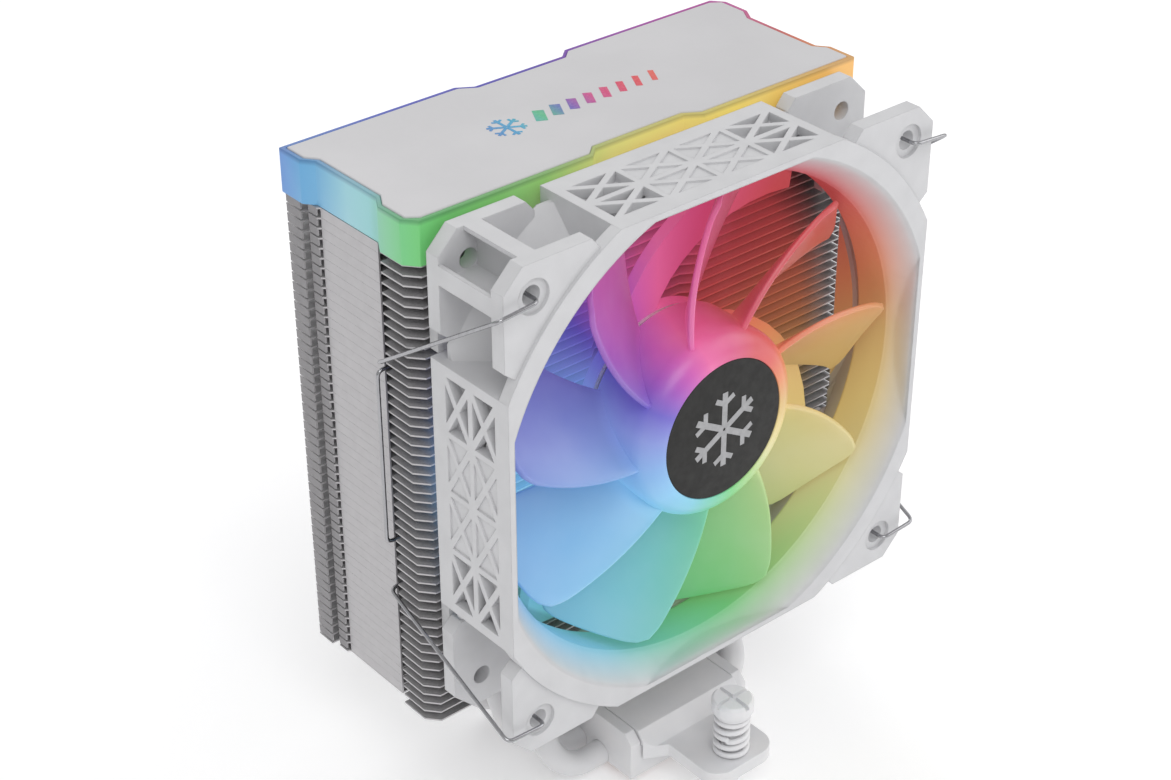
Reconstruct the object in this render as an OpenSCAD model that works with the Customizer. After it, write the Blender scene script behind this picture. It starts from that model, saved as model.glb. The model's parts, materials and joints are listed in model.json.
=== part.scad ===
// Single tower CPU air cooler with one 120 mm fan and a light cover on top.
// Origin: centre of the cold plate's contact face. +Z up, the fan faces -Y.

/* [Fan] */
// Outside width and height of the fan frame
fan_size = 120; // [119.5:0.1:120.5]
// Depth of the fan frame
fan_depth = 25; // [24.6:0.1:25.4]
// Distance between the fan's mounting holes
fan_hole_spacing = 105; // [104.8:0.1:105.2]
// Height of the fan's centre above the contact face
fan_z = 98; // [97:0.5:100]
// Place of the fan's front face
fan_front_y = -36.5; // [-37:0.1:-36]
// Radius over the blade tips
blade_tip_r = 55.6; // [54:0.1:56]
// Number of blades
blade_count = 9; // [5:1:9]
// Radius of the impeller hub
hub_r = 22.5; // [22:0.1:23]

/* [Fin stack] */
// Number of fins
fin_count = 50; // [40:1:50]
// Distance from one fin to the next
fin_pitch = 2.375; // [2.3:0.005:2.375]
// Thickness of a fin
fin_t = 0.4; // [0.3:0.05:0.5]
// Height of the lowest fin above the contact face
fin_bottom = 31.6; // [31:0.1:32]

/* [Light cover] */
// Half width of the cover
cover_half_x = 62.3; // [62:0.1:63]
// Half depth of the cover
cover_half_y = 22.6; // [22.4:0.1:23]
// Height of the translucent band
band_h = 10.3; // [9:0.1:11]

/* [Heat pipes] */
// Number of heat pipes
pipe_count = 5; // [4:1:5]
// Outer radius of a heat pipe
pipe_r = 3; // [3:0.1:3]
// Distance between pipes in the base
pipe_pitch = 8; // [7.2:0.1:8]

/* [Base] */
// Half width of the base block
block_half_x = 18.5; // [18:0.1:19]
// Half length of the base block
block_half_y = 27.2; // [26.5:0.1:28]
// Distance between the two spring screws
screw_spacing = 83; // [80:0.5:86]

/* [Hidden] */
$fn = 64;
eps = 0.01;

// ---- Shared sizes ----
tower_y = 13.3;                          // centre of fins and cover
fan_back_y = fan_front_y + fan_depth;
fan_half = fan_size / 2;
hole_half = fan_hole_spacing / 2;
fin_top = fin_bottom + (fin_count - 1) * fin_pitch + fin_t;
cover_top = fin_top + band_h + 0.4;

// ---- Small helpers ----
// Points of a half outline followed by the same points turned half a turn
function turned_pair(half) = concat(half, [for (p = half) [-p[0], -p[1]]]);

// Triangle moved inwards by d on all sides
function side(a, b) = norm(a - b);
function incentre(t) = let (a = side(t[1], t[2]), b = side(t[2], t[0]), c = side(t[0], t[1]))
    (a * t[0] + b * t[1] + c * t[2]) / (a + b + c);
function inradius(t) =
    let (a = side(t[1], t[2]), b = side(t[2], t[0]), c = side(t[0], t[1]), s = (a + b + c) / 2)
    sqrt((s - a) * (s - b) * (s - c) / s);
function inset(t, d) =
    let (m = incentre(t), k = (inradius(t) - d) / inradius(t)) [for (p = t) m + (p - m) * k];

// Rounded rectangle with a corner radius, kept as true arcs
module rounded_rect(w, h, r) {
    square([w - 2 * r, h], center = true);
    square([w, h - 2 * r], center = true);
    for (x = [-1, 1], y = [-1, 1]) translate([x * (w / 2 - r), y * (h / 2 - r)]) circle(r);
}

// Round wire swept along a list of points
function unit(v) = v / norm(v);
function across(v, t) = unit(v - (v * t) * t);
function tangents(p) = let (n = len(p) - 1) [for (i = [0 : n]) unit(p[min(i + 1, n)] - p[max(i - 1, 0)])];
// Side direction at each point, carried along without twisting
function sides(t, i, u) = i == len(t) ? [] : let (v = across(u, t[i])) concat([v], sides(t, i + 1, v));

module wire(p, r, n = 10) {
    t = tangents(p);
    u = sides(t, 0, abs(t[0][2]) < 0.9 ? [0, 0, 1] : [1, 0, 0]);
    last = (len(p) - 1) * n;
    points = [
        for (i = [0 : len(p) - 1], j = [0 : n - 1])
            p[i] + r * (cos(360 * j / n) * u[i] + sin(360 * j / n) * cross(t[i], u[i]))
    ];
    faces = concat(
        [[for (j = [0 : n - 1]) j]],
        [[for (j = [n - 1 : -1 : 0]) last + j]],
        [for (i = [0 : len(p) - 2], j = [0 : n - 1])
            let (k = (j + 1) % n, a = i * n) each [[a + j, a + n + j, a + n + k], [a + j, a + n + k, a + k]]]
    );
    polyhedron(points, faces, convexity = 6);
}

// A path with its inner corners rounded over a length d
function rounded(p, d, n = 4) = concat([p[0]], [
    for (i = [1 : len(p) - 2])
        let (e = min(d, 0.45 * norm(p[i] - p[i - 1]), 0.45 * norm(p[i + 1] - p[i])),
            a = p[i] + e * unit(p[i - 1] - p[i]), c = p[i] + e * unit(p[i + 1] - p[i]))
        for (k = [0 : n]) let (s = k / n) (1 - s) * (1 - s) * a + 2 * s * (1 - s) * p[i] + s * s * c
], [p[len(p) - 1]]);

// ---- Base ----
plate_h = 3;
plate_half_x = 15;
plate_half_y = 21;
pipe_z = 4.5;
block_top = 15.5;
channel_half_x = 15.6;
channel_z = 12;
ridge_chamfer = 2.4;

module pipe_grooves() {
    for (i = [1 : pipe_count])
        translate([0, pipe_base_y(i), pipe_z])
            rotate([0, 90, 0]) cylinder(r = pipe_r + 0.02, h = 60, center = true);
}

module cold_plate() color([0.78, 0.47, 0.33]) {
    difference() {
        translate([-plate_half_x, -plate_half_y, 0]) cube([2 * plate_half_x, 2 * plate_half_y, plate_h]);
        pipe_grooves();
    }
}

module base_block() color([0.80, 0.80, 0.81]) {
    difference() {
        rotate([90, 0, 90])
            translate([0, 0, -block_half_x])
                linear_extrude(2 * block_half_x)
                    polygon([
                        [-block_half_y, plate_h], [block_half_y, plate_h],
                        [block_half_y, block_top - ridge_chamfer], [block_half_y - ridge_chamfer, block_top],
                        [ridge_chamfer - block_half_y, block_top], [-block_half_y, block_top - ridge_chamfer]
                    ]);
        translate([-channel_half_x, -40, channel_z]) cube([2 * channel_half_x, 80, 10]);
        pipe_grooves();
        for (x = [-1, 1]) translate([x * bar_screw_x, 0, 8]) cylinder(r = 1.25, h = 10, $fn = 32);
    }
}

// ---- Heat pipes ----
pipe_tilt = 32;          // lean of the legs towards the fins
pipe_bend_r = 8.2;       // bend at the base
pipe_neck_r = 10;        // bend back to the vertical
leg_near_x = 28;
leg_far_x = 31.5;
pipe_end_z = fin_top + 2.6;
bends_y = pipe_bend_r * sin(pipe_tilt) + pipe_neck_r * (1 - cos(pipe_tilt));
pipe_neck_len = (tower_y - bends_y) / sin(pipe_tilt);

function pipe_base_y(i) = (i - (pipe_count + 1) / 2) * pipe_pitch;
// Legs alternate between a near and a far row; side is -1 for left and 1 for right
function leg_x(i, side) = ((i % 2 == 1) == (side < 0)) ? leg_far_x : leg_near_x;

// Part of a ring tube: starts at the origin heading +X, turns towards +Z
module pipe_bend(r, angle) {
    translate([0, 0, r]) rotate([90, 0, 0]) rotate([0, 0, -90])
        rotate_extrude(angle = angle) translate([r, 0]) circle(pipe_r);
}

module pipe_leg(i, side) {
    x = leg_x(i, side);
    translate([0, pipe_base_y(i), pipe_z]) mirror([side < 0 ? 1 : 0, 0, 0]) {
        rotate([-pipe_tilt, 0, 0]) {
            rotate([0, 90, 0]) cylinder(r = pipe_r, h = x - pipe_bend_r);
            translate([x - pipe_bend_r, 0, 0]) pipe_bend(pipe_bend_r, 90);
            translate([x, 0, pipe_bend_r]) cylinder(r = pipe_r, h = pipe_neck_len);
            translate([x, 0, pipe_bend_r + pipe_neck_len])
                rotate([0, -90, 90]) pipe_bend(pipe_neck_r, pipe_tilt);
        }
    }
    neck_top = pipe_z + (pipe_bend_r + pipe_neck_len) * cos(pipe_tilt) + pipe_neck_r * sin(pipe_tilt);
    translate([side * x, pipe_base_y(i) + tower_y, neck_top]) {
        sphere(pipe_r + 0.01);
        rotate_extrude() polygon([
            [0, 0], [pipe_r, 0], [pipe_r, pipe_end_z - 1.5 - neck_top], [1.4, pipe_end_z - neck_top],
            [0, pipe_end_z - neck_top]
        ]);
    }
}

module heat_pipe(i) color([0.83, 0.83, 0.84]) {
    pipe_leg(i, -1);
    pipe_leg(i, 1);
}

// ---- Fin stack ----
fin_in = 0.5;            // fins stand this far inside the cover's outline
wall_x = 60.2;           // flat side wall of folded tabs
slot_depth_x = 57.2;
fin_x = cover_half_x - fin_in;
fin_y = cover_half_y - fin_in;
fold_h = 1.6;
rear_tab = [16.8, 22];   // ends of the short folded tabs behind the side wall
mid_tab = [12.2, 15.2];
mid_tab_x = 60.9;
// Left half of the outline from the rear corner to the front, seen from above
fin_half = [
    [-fin_x, fin_y], [-fin_x, rear_tab[0]], [-mid_tab_x + 1.4, rear_tab[0]], [-mid_tab_x + 1.4, mid_tab[1]],
    [-mid_tab_x, mid_tab[1]], [-mid_tab_x, mid_tab[0]], [-wall_x, 11.6],
    [-wall_x, -8.6], [-slot_depth_x, -8.6], [-slot_depth_x, -11.6], [-fin_x, -11.6],
    [-fin_x, -19.1], [-59.3, -fin_y], [-15, -fin_y],
    [-12.3, 2.2 - fin_y], [12.6, 2.2 - fin_y], [16.4, -fin_y]
];

module fin_shape() {
    difference() {
        polygon(turned_pair(fin_half));
        for (i = [1 : pipe_count], side = [-1, 1])
            translate([side * leg_x(i, side), pipe_base_y(i)]) circle(pipe_r + 0.02, $fn = 48);
    }
}

// Short tab folded down from a fin's edge, with a gap above the next fin
module fold(x, ends) translate([x, ends[0], 0.04 - fold_h]) cube([fin_t, ends[1] - ends[0], fold_h]);

module fin_stack() color([0.72, 0.72, 0.73]) {
    translate([0, tower_y, 0])
        for (k = [0 : fin_count - 1]) translate([0, 0, fin_bottom + k * fin_pitch]) {
            linear_extrude(fin_t) fin_shape();
            if (k > 0) for (turn = [0, 180]) rotate(turn) {
                translate([-wall_x, -8.6, fin_t + 0.04 - fin_pitch])
                    cube([fin_t, 20.2, fin_pitch - fin_t]);
                fold(-fin_x, rear_tab);
                fold(-mid_tab_x, mid_tab);
            }
        }
}

strip_x = 55;
strip_z = 40;            // middle of a strip above or below the fan's axis
strip_h = 18;
module fin_rubber_strips() color([0.85, 0.85, 0.86]) {
    for (x = [-1, 1], z = [-1, 1])
        translate([x * strip_x - 3, fan_back_y, fan_z + z * strip_z - strip_h / 2])
            cube([6, tower_y - fin_y - fan_back_y, strip_h]);
}

// ---- Crossbar and its screws ----
bar_top = block_top;
bar_t = bar_top - channel_z;
ear_top = 11.7;
ear_end_y = screw_spacing / 2 + 5.8;
bar_bend_y = block_half_y - 1.2;
bar_drop = bar_top - ear_top;
bar_screw_x = 10;
ear_half_x = 10;
screw_r = 2.5;

module crossbar() color([0.82, 0.82, 0.83]) {
    difference() {
        intersection() {
            linear_extrude(30) {
                square([2 * channel_half_x - 0.4, 2 * bar_bend_y + 4], center = true);
                polygon(turned_pair([
                    [-channel_half_x + 0.2, bar_bend_y + 2], [-channel_half_x + 0.2, -bar_bend_y - 2],
                    [-ear_half_x, -bar_bend_y - 5], [ear_half_x, -bar_bend_y - 5]
                ]));
                rounded_rect(2 * ear_half_x, 2 * ear_end_y, 5);
            }
            rotate([90, 0, 90]) translate([0, 0, -20]) linear_extrude(40)
                polygon(concat(
                    [[-ear_end_y - 1, ear_top], [-bar_bend_y - 3.4, ear_top], [-bar_bend_y, bar_top]],
                    [[bar_bend_y, bar_top], [bar_bend_y + 3.4, ear_top], [ear_end_y + 1, ear_top]],
                    [[ear_end_y + 1, ear_top - bar_t], [bar_bend_y + 1.6, ear_top - bar_t]],
                    [[bar_bend_y + 1.6, channel_z], [-bar_bend_y - 1.6, channel_z]],
                    [[-bar_bend_y - 1.6, ear_top - bar_t], [-ear_end_y - 1, ear_top - bar_t]]
                ));
        }
        for (y = [-1, 1]) translate([0, y * screw_spacing / 2, 0]) cylinder(r = screw_r + 0.06, h = 30);
        for (x = [-1, 1]) translate([x * bar_screw_x, 0, 0]) {
            cylinder(r = 1.6, h = 30, $fn = 32);
            translate([0, 0, bar_top - 1.6]) cylinder(r1 = 1.6, r2 = 3.25, h = 1.65, $fn = 48);
        }
    }
}

module crossbar_screws() color([0.6, 0.6, 0.62]) {
    for (x = [-1, 1]) translate([x * bar_screw_x, 0, 0]) difference() {
        union() {
            translate([0, 0, 8.3]) cylinder(r = 1.24, h = bar_top - 9, $fn = 32);
            translate([0, 0, bar_top - 1.62]) cylinder(r1 = 1.5, r2 = 3.05, h = 1.55, $fn = 48);
        }
        for (a = [0, 90]) translate([0, 0, bar_top]) rotate(a) cube([3.4, 0.7, 1.6], center = true);
    }
}

// Spring screw: head, collar, shoulder, groove for its ring, and a threaded tip
head_top = 27.3;
head_h = 3.7;
head_r = 5;
collar_h = 1;
ring_z = 7.3;
ring_t = 0.7;
tip_z = 2;
groove_r = 1.6;

module spring_screw(y) color([0.82, 0.82, 0.83]) {
    translate([0, y, 0]) difference() {
        rotate_extrude() polygon([
            [0, tip_z], [1.5, tip_z], [2, tip_z + 0.6], [2, ring_z - 0.1], [groove_r, ring_z - 0.1],
            [groove_r, ring_z + ring_t + 0.1], [screw_r, ring_z + ring_t + 0.1],
            [screw_r, head_top - head_h - collar_h], [4.1, head_top - head_h - collar_h],
            [4.1, head_top - head_h], [head_r - 0.5, head_top - head_h], [head_r, head_top - head_h + 0.5],
            [head_r, head_top - 0.6], [head_r - 0.6, head_top], [0, head_top]
        ]);
        translate([0, 0, head_top]) for (turn = [0, 90])
            rotate(turn) cube([2 * head_r + 2, 1.1, 2], center = true);
    }
}

module retaining_ring(y) color([0.35, 0.35, 0.37]) {
    translate([0, y, ring_z]) difference() {
        cylinder(r = 4, h = ring_t);
        translate([0, 0, -1]) cylinder(r = groove_r + 0.05, h = 3);
        translate([-0.9, 0, -1]) cube([1.8, 6, 3]);
    }
}

// Helical spring
spring_wire_r = 0.65;
spring_r = 3.75;
spring_turns = 4.2;
spring_steps = 84;
spring_low = ear_top + spring_wire_r + 0.02;
spring_high = head_top - head_h - collar_h - spring_wire_r - 0.02;
spring_path = [
    for (i = [0 : spring_steps]) let (a = 360 * spring_turns * i / spring_steps)
        [spring_r * cos(a), spring_r * sin(a), spring_low + (spring_high - spring_low) * i / spring_steps]
];

module compression_spring(y) color([0.82, 0.82, 0.83])
    translate([0, y, 0]) wire(spring_path, spring_wire_r, 8);

// ---- Light cover ----
band_wall = 2;
plate_in = 1.1;
top_plate_t = 1.5;
tray_t = 1.5;
board_z = fin_top + 5.2;
board_t = 1.2;
post_x = 44;
post_y = 12;
cover_half = [
    [-cover_half_x, cover_half_y], [-cover_half_x, 15.1], [-wall_x, 12.4], [-wall_x, -8.8],
    [-cover_half_x, -12.3], [-cover_half_x, -19.6], [-59.8, -cover_half_y],
    [-15, -cover_half_y], [-12.3, 2.4 - cover_half_y],
    [12.6, 2.4 - cover_half_y], [16.4, -cover_half_y]
];
// The same outline moved inwards by d: each point keeps its place along the edge
function cover_in(d) = [for (p = cover_half) [p[0] + (p[0] < -50 ? d : 0), p[1] - sign_in(p) * d]];
function sign_in(p) = p[1] > 20 ? 1 : (p[1] < -20 || p[0] > -50) ? -1 : 0;

module cover_outline(d) polygon(turned_pair(cover_in(d)));

module light_diffuser() color([0.75, 0.85, 0.9, 0.8]) {
    translate([0, tower_y, fin_top + 0.1]) difference() {
        linear_extrude(band_h) cover_outline(0);
        translate([0, 0, -1]) linear_extrude(band_h) cover_outline(band_wall);
        translate([0, 0, band_h - top_plate_t + 0.3]) linear_extrude(2) cover_outline(plate_in);
        translate([0, 0, band_h - 2]) linear_extrude(3) cover_outline(band_wall + 1.5);
    }
}

module top_plate() color([0.80, 0.80, 0.80])
    translate([0, tower_y, fin_top + 0.1 + band_h - top_plate_t + 0.3])
        linear_extrude(top_plate_t) cover_outline(plate_in + 0.1);

module cover_tray() color([0.85, 0.85, 0.86]) {
    translate([0, tower_y, fin_top]) difference() {
        union() {
            linear_extrude(tray_t) cover_outline(band_wall + 0.1);
            for (x = [-1, 1], y = [-1, 1])
                translate([x * post_x, y * post_y, 0]) cylinder(r = 3, h = board_z - fin_top);
        }
        for (i = [1 : pipe_count], side = [-1, 1])
            translate([side * leg_x(i, side), pipe_base_y(i), -1]) cylinder(r = pipe_r + 0.4, h = 4);
        for (x = [-1, 1], y = [-1, 1])
            translate([x * post_x, y * post_y, 1]) cylinder(r = 0.9, h = 10, $fn = 32);
    }
}

led_size = 3.4;
module cover_led_board() color([0.92, 0.92, 0.9]) {
    translate([0, tower_y, board_z]) {
        difference() {
            translate([-52, -17, 0]) cube([104, 34, board_t]);
            for (x = [-1, 1], y = [-1, 1])
                translate([x * post_x, y * post_y, -1]) cylinder(r = 1.3, h = 4, $fn = 32);
        }
        for (x = [-2.5 : 1 : 2.5], y = [-1, 1])
            translate([x * 15.6 - led_size / 2, y * 15 - led_size / 2, board_t])
                cube([led_size, led_size, 1.2]);
        for (x = [-1, 1])
            translate([x * 49.5 - led_size / 2, -led_size / 2, board_t]) cube([led_size, led_size, 1.2]);
    }
}

module cover_screws() color([0.6, 0.6, 0.62]) {
    for (x = [-1, 1], y = [-1, 1]) translate([x * post_x, tower_y + y * post_y, 0]) difference() {
        union() {
            translate([0, 0, board_z - 3]) cylinder(r = 0.88, h = 3 + board_t + eps, $fn = 32);
            translate([0, 0, board_z + board_t]) cylinder(r = 1.9, h = 1.1, $fn = 32);
        }
        translate([0, 0, board_z + board_t + 1.1]) cube([2.4, 0.5, 1], center = true);
    }
}

// ---- Fan frame ----
// Fan pieces are drawn with the fan's back at z = 0 and its front towards +Z, then stood up.
module fan_place() translate([0, fan_back_y, fan_z]) rotate([90, 0, 0]) children();

duct_r = 57.3;
duct_wall = 1.9;
lip_r = 67.5;
lip_drop = 0.8;          // the front ears sit this far behind the lip
ear_t = 3.8;
ear_chamfer = 4.9;
ear_reach = 37.8;        // inner end of an ear, from the fan's centre line
panel_half = 31;
panel_t = 2.2;
flare_r = 62.5;          // bell mouth at the front, cut off flat at the sides
flare_half = 58.5;
flare_depth = 7.5;
cone_r = 67.2;           // outside of the bell mouths
cone_h = 8;
box_in = 49;             // corner box between two ears: walls around an open pocket
box_wall = 1.3;
box_rim_t = 1;
box_mouth = 53.4;
ear_hole_r = 2.2;
mount_r = 21.5;
mount_t = 3.2;
strut_t = 3;
strut_half_w = 4.6;
flare_z = 9;

module corners() for (a = [0 : 90 : 270]) rotate(a) children();

// One ear in the +X +Y corner
module ear_shape() polygon([
    [ear_reach - 2.2, fan_half - 2.6], [ear_reach, fan_half], [fan_half - ear_chamfer, fan_half],
    [fan_half, fan_half - ear_chamfer], [fan_half, ear_reach], [fan_half - 2.6, ear_reach - 2.2],
    [36, 36]
]);

// Triangles of the side panel's lattice: two rows of crossed cells along the panel
cell_len = 14.6;
lattice_low = 3.8;
lattice_high = 21.4;
lattice_mid = (lattice_low + lattice_high) / 2;
rib = 1.5;
function cell_triangles(u0, u1, v0, v1) = let (m = [(u0 + u1) / 2, (v0 + v1) / 2]) [
    [[u0, v0], [u1, v0], m], [[u1, v0], [u1, v1], m], [[u1, v1], [u0, v1], m], [[u0, v1], [u0, v0], m]
];

module lattice(cells, depth) {
    for (c = cells, v = [[lattice_low, lattice_mid], [lattice_mid, lattice_high]])
        for (t = cell_triangles(c * cell_len, (c + 1) * cell_len, v[0], v[1]))
            translate([0, 0, -depth]) linear_extrude(depth + 1) polygon(inset(t, rib / 2));
}

// Flat side panel at +X, with the lattice cut through at its ends and engraved in its middle
module side_panel() {
    translate([fan_half, 0, 0]) rotate([90, 0, 90]) difference() {
        translate([-panel_half, 0, -panel_t]) cube([2 * panel_half, fan_depth - 0.6, panel_t]);
        lattice([-2, 1], panel_t + 1);
        lattice([-1, 0], 0.4);
    }
    for (y = [-1, 1])
        translate([50, y * (panel_half - 0.8) - 0.8, 0]) cube([fan_half - 50, 1.6, fan_depth - 0.6]);
}

// Curved strut from the motor mount to the duct
strut_steps = 10;
function strut_angle(r) = 118 - 70 * pow((r - 18) / (duct_r - 18), 0.85);
function strut_mid(s) = let (r = 18 + (duct_r + 1 - 18) * s, a = strut_angle(r)) r * [cos(a), sin(a)];
function strut_dir(s) = let (d = strut_mid(s + 0.01) - strut_mid(s - 0.01)) [-d[1], d[0]] / norm(d);
function strut_edge(s, w) = strut_mid(s) + w * strut_dir(s);
strut_outline = concat(
    [for (i = [0 : strut_steps]) strut_edge(0.02 + 0.96 * i / strut_steps, strut_half_w)],
    [for (i = [strut_steps : -1 : 0]) strut_edge(0.02 + 0.96 * i / strut_steps, -strut_half_w)]
);

// Walls of the box in the +X +Y corner, its pocket open towards the corner
module corner_box() {
    for (m = [[0, 0, 0], [1, -1, 0]]) mirror(m) {
        translate([box_in, box_in]) square([box_wall, fan_half - box_in]);
        translate([box_in, fan_half - box_rim_t]) square([box_mouth - box_in, box_rim_t]);
    }
}

// Cones around the two bell mouths, inside the side panels
module outer_cones() {
    half = fan_half - panel_t + 0.02;
    intersection() {
        union() {
            translate([0, 0, ear_t - 1])
                cylinder(r1 = cone_r, r2 = duct_r + duct_wall, h = cone_h, $fn = 128);
            translate([0, 0, fan_depth - 3 - cone_h])
                cylinder(r1 = duct_r + duct_wall, r2 = cone_r, h = cone_h, $fn = 128);
        }
        translate([-half, -half, 0]) cube([2 * half, 2 * half, fan_depth]);
    }
}

module fan_frame() color([0.84, 0.84, 0.85]) fan_place() {
    difference() {
        union() {
            cylinder(r = duct_r + duct_wall, h = fan_depth - 0.5, $fn = 128);
            corners() {
                linear_extrude(ear_t) ear_shape();
                translate([0, 0, fan_depth - lip_drop - ear_t]) linear_extrude(ear_t) ear_shape();
                side_panel();
            }
            rotate(90) translate([0, 0, 1]) linear_extrude(fan_depth - lip_drop - 2) corner_box();
            outer_cones();
            translate([0, 0, fan_depth - 3]) intersection() {
                cylinder(r = lip_r, h = 3, $fn = 128);
                translate([-fan_half, -fan_half, 0]) cube([fan_size, fan_size, 3]);
            }
        }
        translate([0, 0, -1]) cylinder(r = duct_r, h = fan_depth + 2, $fn = 128);
        translate([0, 0, fan_depth - flare_depth]) intersection() {
            cylinder(r1 = duct_r, r2 = flare_r, h = flare_depth + 0.01, $fn = 128);
            translate([-flare_half, -flare_half, -1]) cube([2 * flare_half, 2 * flare_half, 20]);
        }
        translate([0, 0, -0.01]) intersection() {
            cylinder(r1 = 63, r2 = duct_r, h = flare_z, $fn = 128);
            translate([1.6 - fan_half, 1.6 - fan_half, -1]) cube([fan_size - 3.2, fan_size - 3.2, 20]);
            rotate(45) translate([-60.5, -60.5, -1]) cube([121, 121, 20]);
        }
        for (x = [-1, 1], y = [-1, 1]) translate([x * hole_half, y * hole_half, -1]) {
            cylinder(r = ear_hole_r, h = fan_depth + 2, $fn = 48);
            translate([0, 0, fan_depth - lip_drop + 0.2]) cylinder(r = 3.9, h = 2, $fn = 48);
        }
    }
    // Motor mount and struts
    difference() {
        union() {
            cylinder(r = mount_r, h = mount_t);
            corners() linear_extrude(strut_t) polygon(strut_outline);
        }
        translate([0, 0, -1]) cylinder(r = 3.5, h = 10);
    }
}

// ---- Motor ----
tube_r = 3.5;
sleeve_r = 2.6;
shaft_r = 1.5;
stator_z = 7.4;
hub_front = 24;
hub_depth = 18.5;

module bearing_tube() color([0.75, 0.62, 0.3]) fan_place() difference() {
    union() {
        translate([0, 0, 0]) cylinder(r = tube_r - 0.01, h = 17);
        translate([0, 0, mount_t]) cylinder(r = tube_r + 1.5, h = 1.2);
    }
    translate([0, 0, 1.2]) cylinder(r = sleeve_r, h = 20);
}

module bearing_sleeve() color([0.7, 0.55, 0.35]) fan_place() translate([0, 0, 4]) difference() {
    cylinder(r = sleeve_r - 0.01, h = 12.5);
    translate([0, 0, -1]) cylinder(r = shaft_r + 0.03, h = 20);
}

module stator_core() color([0.4, 0.4, 0.42]) fan_place() translate([0, 0, stator_z])
    linear_extrude(6) difference() {
    union() {
        circle(7);
        for (a = [0 : 90 : 270]) rotate(a) {
            translate([0, -1.8]) square([13, 3.6]);
            intersection() {
                difference() {
                    circle(14.6);
                    circle(12.8);
                }
                translate([8, -8.4]) square([10, 16.8]);
            }
        }
    }
    circle(tube_r + 0.02);
}

module stator_coils() color([0.72, 0.38, 0.2]) fan_place() for (a = [0 : 90 : 270]) rotate(a) {
    translate([7.3, 0, stator_z + 3]) difference() {
        translate([0, -3.4, -4]) cube([5, 6.8, 8]);
        translate([-1, -1.85, -3.05]) cube([8, 3.7, 6.1]);
    }
}

module motor_board() color([0.1, 0.35, 0.2]) fan_place() translate([0, 0, mount_t]) {
    difference() {
        cylinder(r = 16.5, h = 0.8);
        translate([0, 0, -1]) cylinder(r = tube_r + 1.6, h = 3);
    }
    translate([7, -2, 0.8]) cube([3.5, 4, 1]);
    translate([-10, -1.5, 0.8]) cube([2.5, 3, 0.9]);
}

module led_board() color([0.92, 0.92, 0.9]) fan_place() translate([0, 0, mount_t]) {
    difference() {
        cylinder(r = 21.2, h = 0.8);
        translate([0, 0, -1]) cylinder(r = 16.7, h = 3);
    }
    for (a = [0 : 45 : 315]) rotate(a) translate([17.4, -1.2, 0.8]) cube([2.4, 2.4, 0.7]);
}

// ---- Rotor ----
badge_r = 16.8;
hub_round = 5.5;
blade_front = 20.6;
blade_back = 6;
blade_start = 92;        // angle of the first blade's root
blade_sweep = 14;        // how far a blade's tip lags behind its root
blade_wrap = [34, 25];   // turn from the back edge to the front edge, at the root and at the tip
blade_half_w = 1;        // half width along the turning direction
blade_steps = 7;
blade_slices = 6;

// A blade is a grid of points: i runs from root to tip, j from the back edge to the front edge
function blade_point(i, j, w) = let (
        r = hub_r - 1 + (blade_tip_r - hub_r + 1) * i / blade_steps,
        s = (r - hub_r) / (blade_tip_r - hub_r), t = j / blade_slices,
        wrap = blade_wrap[0] + (blade_wrap[1] - blade_wrap[0]) * s,
        a = -blade_sweep * s + wrap * (t - 0.5) + w / r * 180 / PI
    ) [r * cos(a), r * sin(a), blade_back + (blade_front - blade_back) * t];
blade_points = [
    for (w = [blade_half_w, -blade_half_w], i = [0 : blade_steps], j = [0 : blade_slices])
        blade_point(i, j, w)
];
function grid(k, i, j) = (k * (blade_steps + 1) + i) * (blade_slices + 1) + j;
function quad(a, b, c, d) = [[a, b, c], [a, c, d]];
blade_faces = [
    for (i = [0 : blade_steps - 1], j = [0 : blade_slices - 1]) each concat(
        quad(grid(0, i, j), grid(0, i + 1, j), grid(0, i + 1, j + 1), grid(0, i, j + 1)),
        quad(grid(1, i, j), grid(1, i, j + 1), grid(1, i + 1, j + 1), grid(1, i + 1, j))
    ),
    for (i = [0 : blade_steps - 1], e = [0, 1]) let (j = e * blade_slices, a = i + 1 - e, b = i + e)
        each quad(grid(0, a, j), grid(0, b, j), grid(1, b, j), grid(1, a, j)),
    for (j = [0 : blade_slices - 1], e = [0, 1]) let (i = e * blade_steps, a = j + e, b = j + 1 - e)
        each quad(grid(0, i, a), grid(0, i, b), grid(1, i, b), grid(1, i, a))
];

module blade() polyhedron(blade_points, blade_faces, convexity = 4);

module hub_profile() {
    translate([0, hub_front - hub_depth]) {
        square([hub_r, hub_depth - hub_round]);
        square([hub_r - hub_round, hub_depth]);
        translate([hub_r - hub_round, hub_depth - hub_round]) circle(hub_round);
    }
}

module impeller() color([0.75, 0.6, 0.85, 0.8]) fan_place() {
    difference() {
        union() {
            rotate_extrude($fn = 96) hub_profile();
            for (k = [0 : blade_count - 1]) rotate(blade_start + k * 360 / blade_count) blade();
        }
        translate([0, 0, 0]) cylinder(r = 20, h = hub_front - 2, $fn = 96);
        translate([0, 0, hub_front - 1]) cylinder(r = badge_r + 0.05, h = 2, $fn = 96);
        cylinder(r = 2.6, h = hub_front - 1.5, $fn = 48);
    }
}

module rotor_yoke() color([0.55, 0.55, 0.57]) fan_place() difference() {
    translate([0, 0, 6.4]) cylinder(r = 19.95, h = hub_front - 2 - 6.4 - 0.02, $fn = 96);
    translate([0, 0, 5]) cylinder(r = 18.9, h = hub_front - 3.2 - 5, $fn = 96);
    translate([0, 0, 5]) cylinder(r = shaft_r + 0.01, h = 30, $fn = 48);
}

module magnet_ring() color([0.2, 0.2, 0.22]) fan_place() translate([0, 0, 7]) difference() {
    cylinder(r = 18.89, h = 9, $fn = 96);
    translate([0, 0, -1]) cylinder(r = 15.4, h = 12, $fn = 96);
}

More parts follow.
